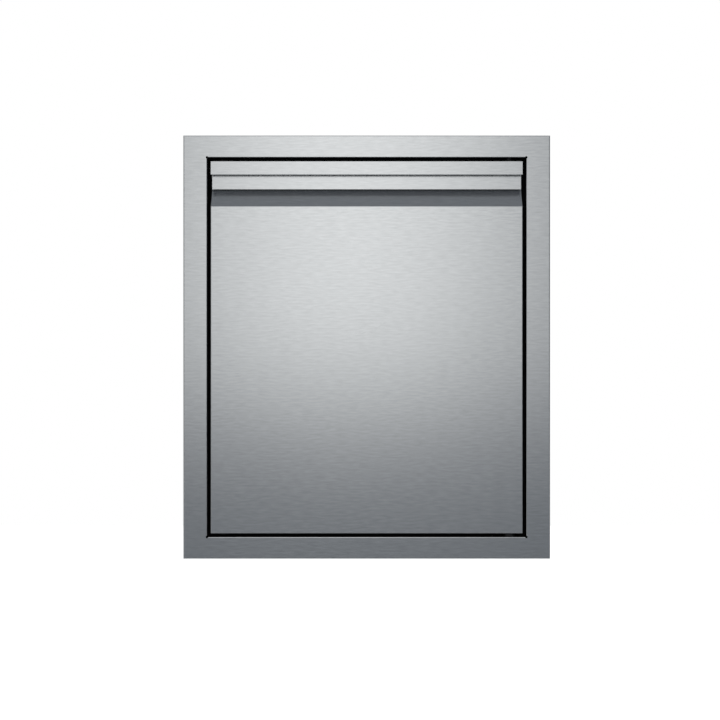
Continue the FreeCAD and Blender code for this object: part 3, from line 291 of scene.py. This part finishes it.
# Sleeve
# Four walls of plain rolled stainless sheet behind the face. Each has a tab spot welded to the back of the
# face frame, and their corners are riveted.
SHEET_STEEL = (0.56, 0.565, 0.57)
ROLLING_LINE_DEPTH = 0.000004
CLOUD_SHARE = 0.7


def rolled_steel(name, color, roughness, start):
    """Mill finish sheet: faint rolling lines, cloudy grey, no polish."""
    material, tree, shader = new_finish(name, {"Metallic": 1.0})
    rolling = place(tree, belt_lines, Length=0.09, Width=0.0009, Start=start)
    marks = place(tree, handling, Size=0.035)
    worn = place(tree, worn_and_highlit_edges, Reach=0.0007, Grain=0.005)
    cloud = sum_of(tree, "MULTIPLY_ADD", marks["Mark"], CLOUD_SHARE,
                   product(tree, rolling["Line"], 1.0 - CLOUD_SHARE))
    feed(tree, tint(tree, varied(tree, cloud), toned(color, 0.93), toned(color, 1.05)), shader["Base Color"])
    clouded = varied(tree, cloud, roughness * 1.08, roughness * 0.92)
    feed(tree, rubbed_smooth(tree, clouded, worn["Worn"], 0.7), shader["Roughness"])
    relief(tree, rolling["Relief"], ROLLING_LINE_DEPTH, shader)
    return material


dress(rolled_steel("rolled_sleeve_steel", SHEET_STEEL, 0.34, 3.0),
      "left_jamb", "right_jamb", "head_liner", "sill_liner")


# Stops
# Steel angles riveted inside the sleeve, which the door closes against. They have a matt black powder coat
# with a fine pebbled skin. The black is partly their finish and partly painted shade, so the gap round the
# closed door looks as dark as shade.
pebbles, pebbles_in, pebbles_out = effect_group("pebbled_skin", {"Size": 0.0006}, ["Pebble"])
pebble_spot = add_node(pebbles, "ShaderNodeTexCoord").outputs["Object"]
pebble = add_node(pebbles, "ShaderNodeTexNoise", {
    "Vector": pebble_spot, "Scale": sum_of(pebbles, "DIVIDE", 1.0, pebbles_in["Size"]), "Detail": 2.0,
    "Roughness": 0.5,
})
pebbles.links.new(pebble.outputs["Fac"], pebbles_out["Pebble"])


def mixed(first, second, share):
    """A plain colour between two others."""
    return tuple(a + (b - a) * share for a, b in zip(first, second))


GAP_SHADE_COAT_BLACK = (0.012, 0.012, 0.013)
COAT_RUBBED = (0.10, 0.10, 0.10)
COAT_PEBBLE_DEPTH = 0.00006


def coated_steel(name, color):
    """Matt powder coat: pebbled, with greyer corners where it has been knocked."""
    material, tree, shader = new_finish(name, {"Specular IOR Level": 0.25})
    skin = place(tree, pebbles, Size=0.0007)
    marks = place(tree, handling, Size=0.03)
    worn = place(tree, worn_and_highlit_edges, Reach=0.0005, Grain=0.003)
    feed(tree, tint(tree, worn["Worn"], color, mixed(color, COAT_RUBBED, 0.5)), shader["Base Color"])
    feed(tree, varied(tree, marks["Mark"], 0.78, 0.92), shader["Roughness"])
    relief(tree, skin["Pebble"], COAT_PEBBLE_DEPTH, shader, 0.6)
    return material


# Painted shade: the black coat stands in for the dark of the gap, besides being the parts' finish
gap_shade_powder_coat = coated_steel("black_powder_coat", GAP_SHADE_COAT_BLACK)
dress(gap_shade_powder_coat, "left_stop", "right_stop", "top_stop", "bottom_stop")


# Blind rivets
# Stainless rivets with domed heads, pulled up tight from one side: four at the sleeve's corners, twelve in
# the stops, and those of the strike plates on the door.
RIVET_STEEL = (0.60, 0.60, 0.60)
SCUFF_DEPTH = 0.000012


def drawn_steel(name, color, roughness, grain=0.0011):
    """Small bright steel pieces: cold formed, with fine scuffs all over and polished edges."""
    material, tree, shader = new_finish(name, {"Metallic": 1.0})
    scuffs = place(tree, pebbles, Size=grain)
    worn = place(tree, worn_and_highlit_edges, Reach=0.0004, Grain=0.002)
    scuffed_tone = tint(tree, varied(tree, scuffs["Pebble"]), toned(color, 0.82), toned(color, 1.12))
    feed(tree, scuffed_tone, shader["Base Color"])
    scuffed = varied(tree, scuffs["Pebble"], roughness * 1.25, roughness * 0.8)
    feed(tree, rubbed_smooth(tree, scuffed, worn["Worn"], 0.6), shader["Roughness"])
    relief(tree, scuffs["Pebble"], SCUFF_DEPTH, shader)
    return material


dress(drawn_steel("drawn_rivet_steel", RIVET_STEEL, 0.30), "corner_rivets", "stop_rivets", "strike_rivets")


# Hinge brackets
# Two flat steel plates over and under the hinge corner of the door, in the same black coat as the stops,
# which is partly painted shade in the gap.
# Each is held to the sleeve by four screws.
dress(gap_shade_powder_coat, "upper_hinge_bracket", "lower_hinge_bracket")


# Screws
# Stainless button-head screws with a hexagon socket, cold headed and left bright. They hold the catches to
# the stop and the inner panel to the door.
SCREW_STEEL = (0.60, 0.60, 0.61)
dress(drawn_steel("screw_steel", SCREW_STEEL, 0.26, 0.0007), "catch_screws", "liner_screws")


# Upper pin and the dark screws
# Hardened steel with a black oxide skin, a little brown, rubbed bright on the corners. The pin is pressed
# into the upper bracket, and the screws hold the brackets, the pin housing and the pivot blocks.
OXIDE = (0.030, 0.029, 0.030)
OXIDE_RUBBED = (0.16, 0.16, 0.16)
OXIDE_DEPTH = 0.000015


def oxide_steel(name, color):
    """Blackened steel: a thin dark skin, satin and uneven, with the bare steel coming through on corners."""
    material, tree, shader = new_finish(name, {"Metallic": 0.6})
    skin = place(tree, pebbles, Size=0.0009)
    worn = place(tree, worn_and_highlit_edges, Reach=0.0004, Grain=0.0025)
    feed(tree, tint(tree, worn["Worn"], color, mixed(color, OXIDE_RUBBED, 0.6)), shader["Base Color"])
    feed(tree, varied(tree, skin["Pebble"], 0.58, 0.40), shader["Roughness"])
    relief(tree, skin["Pebble"], OXIDE_DEPTH, shader)
    return material


dress(oxide_steel("black_oxide", OXIDE), "upper_hinge_pin", "hinge_bracket_screws", "housing_screws",
      "pivot_block_screws")


# Bushes, washer and plugs
# Turned and moulded black acetal: slippery, waxy and close grained. The bushes are pressed into their holes,
# the washer carries the door, and the plugs close the spare hinge holes.
ACETAL = (0.009, 0.009, 0.010)
PLASTIC_RUBBED = (0.20, 0.20, 0.20)


def waxy_plastic(name, color, roughness, grain, depth):
    """Moulded plastic with a fine spark-eroded grain and slightly paler corners."""
    material, tree, shader = new_finish(name, {"Specular IOR Level": 0.35})
    skin = place(tree, pebbles, Size=grain)
    marks = place(tree, handling, Size=0.02)
    worn = place(tree, worn_and_highlit_edges, Reach=0.0006, Grain=0.003)
    feed(tree, tint(tree, worn["Worn"], color, mixed(color, PLASTIC_RUBBED, 0.06)), shader["Base Color"])
    feed(tree, varied(tree, marks["Mark"], roughness * 0.88, roughness * 1.12), shader["Roughness"])
    relief(tree, skin["Pebble"], depth, shader)
    return material


acetal = waxy_plastic("black_acetal", ACETAL, 0.48, 0.0008, 0.00001)
dress(acetal, "lower_bracket_bush", "thrust_washer", "upper_door_bush", "lower_door_bush",
      "upper_hole_plug", "lower_hole_plug")


# Magnetic catches
# Thin dark grey nylon cases screwed to the latch-side stop, each round a nickel plated bar magnet between
# two zinc plated pole plates.
ZINC = (0.56, 0.575, 0.60)
ZINC_WARM = (0.62, 0.58, 0.50)
ZINC_CLOUDS = (0.35, 0.7)
ZINC_PIT_DEPTH = 0.00002


def zinc_plate(name, color):
    """Bright zinc: bluish, slightly cloudy, with fine pits."""
    material, tree, shader = new_finish(name, {"Metallic": 1.0})
    pits = place(tree, pebbles, Size=0.0016)
    clouds = place(tree, handling, Size=0.012)
    worn = place(tree, worn_and_highlit_edges, Reach=0.0005, Grain=0.002)
    clouded = spread(tree, clouds["Mark"], *ZINC_CLOUDS)
    feed(tree, tint(tree, clouded, color, mixed(color, ZINC_WARM, 0.35)), shader["Base Color"])
    pitted = varied(tree, pits["Pebble"], 0.42, 0.26)
    feed(tree, rubbed_smooth(tree, pitted, worn["Worn"], 0.65), shader["Roughness"])
    relief(tree, pits["Pebble"], ZINC_PIT_DEPTH, shader)
    return material


plated = zinc_plate("zinc_plate", ZINC)
NYLON = (0.085, 0.085, 0.09)
NICKEL = (0.65, 0.64, 0.60)
nylon = waxy_plastic("grey_nylon", NYLON, 0.55, 0.0005, 0.00002)
dress(nylon, "upper_catch_housing", "lower_catch_housing")
dress(drawn_steel("nickel_plate", NICKEL, 0.20), "upper_catch_magnet", "lower_catch_magnet")
dress(plated, "catch_pole_plates")


# Bumpers
# Soft black rubber domes, moulded in one piece with the stems that push into the latch-side stop. They take
# the knock of the closing door.
RUBBER = (0.026, 0.026, 0.027)
rubber = waxy_plastic("black_rubber", RUBBER, 0.82, 0.0004, 0.00003)
dress(rubber, "upper_door_bumper", "lower_door_bumper")


# Door skin and pull lip
# The pan is folded from one ground sheet, with the finger recess across its top. The lip is a second strip,
# folded over the top edge and back under itself, and spot welded at both ends.
# Faces of the lip that look down above this height get the darker mill colour: painted shade under the lip
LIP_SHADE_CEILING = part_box("handle_lip")[0].z + 0.003
dress(ground_steel("ground_door_steel", 17.3), "door_skin")
dress(ground_steel("ground_lip_steel", 41.9, LIP_SHADE_CEILING), "handle_lip")


# Pivot blocks
# Milled aluminium, bead blasted and anodised black, screwed behind the two ends of the lip. One holds the
# upper bush, and the other takes it when the door is hung on the other side.
ANODISE = (0.026, 0.026, 0.028)
BARE_ALUMINIUM = (0.62, 0.62, 0.62)
BEAD_DEPTH = 0.00003


def blasted_aluminium(name, color, metallic, roughness):
    """Aluminium with the even, fine-pitted satin of glass bead blasting, rubbed brighter on its corners."""
    material, tree, shader = new_finish(name, {"Metallic": metallic})
    beads = place(tree, pebbles, Size=0.0005)
    worn = place(tree, worn_and_highlit_edges, Reach=0.0006, Grain=0.003)
    blasted = tint(tree, varied(tree, beads["Pebble"]), toned(color, 0.90), toned(color, 1.08))
    feed(tree, tint(tree, worn["Worn"], blasted, mixed(color, BARE_ALUMINIUM, 0.12)), shader["Base Color"])
    feed(tree, spread(tree, worn["Worn"], 0.0, 1.0, roughness, roughness * 0.7), shader["Roughness"])
    relief(tree, beads["Pebble"], BEAD_DEPTH, shader)
    return material


dress(blasted_aluminium("black_anodise", ANODISE, 0.3, 0.55), "left_pivot_block", "right_pivot_block")


# Inner panel and stiffeners
# A rolled sheet screwed over the back of the pan with a shallow pressed field, and two hat sections bonded
# to the back of the skin to keep it flat.
dress(rolled_steel("rolled_panel_steel", SHEET_STEEL, 0.32, 9.0), "door_liner", "left_stiffener",
      "right_stiffener")


# Strike plates
# Two flat pieces of zinc plated steel on the latch side, riveted to the back of the door, which the magnets
# hold when it is closed.
dress(plated, "upper_strike_plate", "lower_strike_plate")


# Spring pin
# A zinc plated pin with a collar slides in an aluminium housing at the foot of the door. A coil spring
# between the collar and the housing's plug holds it down, and its knob is reached from behind.
ALUMINIUM = (0.56, 0.565, 0.575)
SPRING_STEEL = (0.36, 0.36, 0.37)
SPRING_WIRE = 0.0012
SPRING_TURNS = 8
STEPS_PER_TURN = 32
WIRE_SIDES = 12
dress(blasted_aluminium("blasted_aluminium", ALUMINIUM, 1.0, 0.5), "pin_housing")
dress(plated, "lower_hinge_pin", "housing_plug")
dress(acetal, "release_knob")


def coil(name, low, high, wire, turns):
    """A compression spring that fills a box: round wire, with the last turn at each end closed up."""
    radius = (high.x - low.x - wire) / 2
    middle = (low + high) / 2
    steps = turns * STEPS_PER_TURN
    foot = low.z + wire / 2
    height = high.z - low.z - wire
    closed = wire / height
    dots = []
    for step in range(steps + 1):
        turned = turns * step / steps
        if turned < 1:
            share = closed * turned
        elif turned > turns - 1:
            share = 1 - closed * (turns - turned)
        else:
            share = closed + (1 - 2 * closed) * (turned - 1) / (turns - 2)
        heading = 2 * math.pi * turned
        for side in range(WIRE_SIDES):
            lean = 2 * math.pi * side / WIRE_SIDES
            out = radius + wire / 2 * math.cos(lean)
            dots.append((middle.x + out * math.cos(heading), middle.y + out * math.sin(heading),
                         foot + height * share + wire / 2 * math.sin(lean)))
    skins = [(step * WIRE_SIDES + side, step * WIRE_SIDES + (side + 1) % WIRE_SIDES,
              (step + 1) * WIRE_SIDES + (side + 1) % WIRE_SIDES, (step + 1) * WIRE_SIDES + side)
             for step in range(steps) for side in range(WIRE_SIDES)]
    skins.append(tuple(range(WIRE_SIDES)))
    skins.append(tuple(steps * WIRE_SIDES + side for side in reversed(range(WIRE_SIDES))))
    mesh = bpy.data.meshes.new(name)
    mesh.from_pydata(dots, [], skins)
    shaped = bmesh.new()
    shaped.from_mesh(mesh)
    bmesh.ops.recalc_face_normals(shaped, faces=shaped.faces)
    shaped.to_mesh(mesh)
    shaped.free()
    mesh.shade_smooth()
    made = bpy.data.objects.new(name, mesh)
    bpy.context.scene.collection.objects.link(made)
    return made


spring_low, spring_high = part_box("pin_spring")
spring = coil("coil_spring", spring_low, spring_high, SPRING_WIRE, SPRING_TURNS)
spring.data.materials.append(drawn_steel("spring_wire_steel", SPRING_STEEL, 0.36))
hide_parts("pin_spring")
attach(spring, "door")
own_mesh(spring)


# Studio
# A pale floor well below the part, three soft lamps, and white all round for the camera. The steel mirrors
# the world instead of the lamps: a tall bright screen in front in a dim room, paler to the sides and below.
FLOOR_DROP = 1.2
FLOOR_HALF_WIDTH = 6.0
FLOOR_FRONT = 0.3
FLOOR_BACK = 8.0
FLOOR_TONE = (0.80, 0.80, 0.80)
FLOOR_SEEN = 0.8
FLOOR_MIRRORED = 0.4
WHITE = (1.0, 1.0, 1.0)
floor_mesh = bpy.data.meshes.new("floor")
floor_mesh.from_pydata(
    [(-FLOOR_HALF_WIDTH, FLOOR_FRONT, -FLOOR_DROP), (FLOOR_HALF_WIDTH, FLOOR_FRONT, -FLOOR_DROP),
     (FLOOR_HALF_WIDTH, FLOOR_BACK, -FLOOR_DROP), (-FLOOR_HALF_WIDTH, FLOOR_BACK, -FLOOR_DROP)],
    [], [(0, 1, 2, 3)])
floor = bpy.data.objects.new("floor", floor_mesh)
bpy.context.scene.collection.objects.link(floor)
floor_finish, floor_tree, floor_shader = new_finish("floor_finish", {
    "Base Color": (*FLOOR_TONE, 1.0), "Roughness": 0.9, "Emission Color": (*WHITE, 1.0),
})
floor_path = add_node(floor_tree, "ShaderNodeLightPath").outputs
floor_mirrored = sum_of(floor_tree, "MAXIMUM", floor_path["Is Glossy Ray"],
                        floor_path["Is Transmission Ray"])
floor_seen = sum_of(floor_tree, "MULTIPLY_ADD", floor_mirrored, FLOOR_MIRRORED,
                    product(floor_tree, floor_path["Is Camera Ray"], FLOOR_SEEN))
feed(floor_tree, floor_seen, floor_shader["Emission Strength"])
floor.data.materials.append(floor_finish)

world = bpy.data.worlds.new("studio")
bpy.context.scene.world = world
world.use_nodes = True
sky = world.node_tree
sky_spot = add_node(sky, "ShaderNodeTexCoord").outputs["Generated"]
toward = add_node(sky, "ShaderNodeSeparateXYZ", {"Vector": sky_spot}).outputs
sideways = sum_of(sky, "ABSOLUTE", toward["X"])

# The bright screen, soft at its foot, its head and both sides
KEY_TONE = (1.245, 1.265, 1.265)
KEY_SIDE = -0.0085
KEY_SPREAD = 0.091
KEY_FOOT = (-0.086, -0.020)
KEY_EASE = (0.024, 0.134)
KEY_EASED = 0.92
KEY_HEAD = (0.70, 0.980)
key_foot = spread(sky, toward["Z"], *KEY_FOOT, curve="SMOOTHSTEP")
key_ease = spread(sky, toward["Z"], *KEY_EASE, 1.0, KEY_EASED)
key_head = spread(sky, toward["Z"], *KEY_HEAD, 1.0, 0.0, "SMOOTHSTEP")
key_aside = sum_of(sky, "DIVIDE", sum_of(sky, "SUBTRACT", toward["X"], KEY_SIDE), KEY_SPREAD)
key_sides = sum_of(sky, "EXPONENT", product(sky, key_aside, key_aside, -0.5))
key = product(sky, key_foot, key_ease, key_head, key_sides)

# The room: dim in front and darkest straight below, lighter low in front, on the far left and right, and
# above and below to the sides
ROOM_DIM = (0.162, 0.178, 0.199)
ROOM_LEFT = (0.50, 0.51, 0.52)
LEFT_REACH = (-0.35, -0.75)
ROOM_RIGHT = (0.40, 0.41, 0.42)
RIGHT_REACH = (0.88, 0.985)
RIGHT_FADE = (-0.15, 0.25)
ROOM_LOW = (0.29, 0.30, 0.31)
LOW_TOP = (-0.30, -0.45)
LOW_FOOT = (-0.90, -0.78)
ROOM_UNDER = (0.10, 0.11, 0.125)
UNDER_REACH = (-0.78, -0.92)
SIDES_LOW = (0.38, 0.39, 0.40)
SIDES_HIGH = (0.80, 0.81, 0.82)
SIDES_REACH = (0.3, 0.6)
SIDES_RISE = (-0.4, 0.6)
OFF_LEVEL = (0.12, 0.4)
left = spread(sky, toward["X"], *LEFT_REACH)
right = product(sky, spread(sky, toward["X"], *RIGHT_REACH), spread(sky, toward["Z"], *RIGHT_FADE, 1.0, 0.5))
low = product(sky, spread(sky, toward["Z"], *LOW_TOP), spread(sky, toward["Z"], *LOW_FOOT))
under = spread(sky, toward["Z"], *UNDER_REACH)
off_level = spread(sky, sum_of(sky, "ABSOLUTE", toward["Z"]), *OFF_LEVEL)
beside = product(sky, spread(sky, sideways, *SIDES_REACH), off_level)
beside_tone = tint(sky, spread(sky, toward["Z"], *SIDES_RISE), SIDES_LOW, SIDES_HIGH)
room = tint(sky, left, ROOM_DIM, ROOM_LEFT)
room = tint(sky, right, room, ROOM_RIGHT)
room = tint(sky, low, room, ROOM_LOW)
room = tint(sky, under, room, ROOM_UNDER)
room = tint(sky, beside, room, beside_tone)
studio = tint(sky, key, room, KEY_TONE)

# White for the camera, and behind the part for what it mirrors
BEHIND_FROM = (0.45, 0.65)
path = add_node(sky, "ShaderNodeLightPath").outputs
mirrored = product(sky, sum_of(sky, "MAXIMUM", path["Is Glossy Ray"], path["Is Transmission Ray"]),
                   spread(sky, toward["Y"], *BEHIND_FROM))
seen = sum_of(sky, "MAXIMUM", path["Is Camera Ray"], mirrored)
feed(sky, tint(sky, seen, studio, WHITE), sky.nodes["Background"].inputs["Color"])


def softbox(name, position, width, power):
    """A square soft light that points at the middle of the part."""
    lamp = bpy.data.lights.new(name, "AREA")
    lamp.size = width
    lamp.energy = power
    holder = bpy.data.objects.new(name, lamp)
    holder.location = position
    holder.rotation_euler = (-Vector(position)).to_track_quat("-Z", "Y").to_euler()
    holder.visible_glossy = False
    bpy.context.scene.collection.objects.link(holder)


softbox("left_softbox", position=(-1.5, -1.8, 1.5), width=1.4, power=30.0)
softbox("right_softbox", position=(1.7, -1.6, 0.9), width=1.2, power=14.0)
softbox("rear_softbox", position=(0.6, 1.9, 1.6), width=1.4, power=24.0)


# Camera
# It looks straight at the door from the front and stands a little above its middle, as the thin line under
# the lip shows. The picture is framed lower than that with upright sides, so the lens is shifted down.
IMAGE_SIDE = 720
DOOR_MIDDLE_AT = (366.67, 347.18)
METRES_PER_PIXEL = 0.0012457
VIEW_DISTANCE = 2.153
VIEW_HEIGHT = 0.04
picture_side = IMAGE_SIDE * METRES_PER_PIXEL
picture_middle_x = (IMAGE_SIDE / 2 - DOOR_MIDDLE_AT[0]) * METRES_PER_PIXEL
picture_middle_z = (DOOR_MIDDLE_AT[1] - IMAGE_SIDE / 2) * METRES_PER_PIXEL
camera_data = bpy.data.cameras.new("camera")
camera = bpy.data.objects.new("camera", camera_data)
bpy.context.scene.collection.objects.link(camera)
camera.location = (picture_middle_x, cad_box[0].y - VIEW_DISTANCE, VIEW_HEIGHT)
camera.rotation_euler = (math.radians(90), 0.0, 0.0)
camera_data.lens = camera_data.sensor_width * VIEW_DISTANCE / picture_side
camera_data.shift_y = (picture_middle_z - VIEW_HEIGHT) / picture_side
bpy.context.scene.camera = camera
bpy.context.scene.view_settings.view_transform = "Standard"
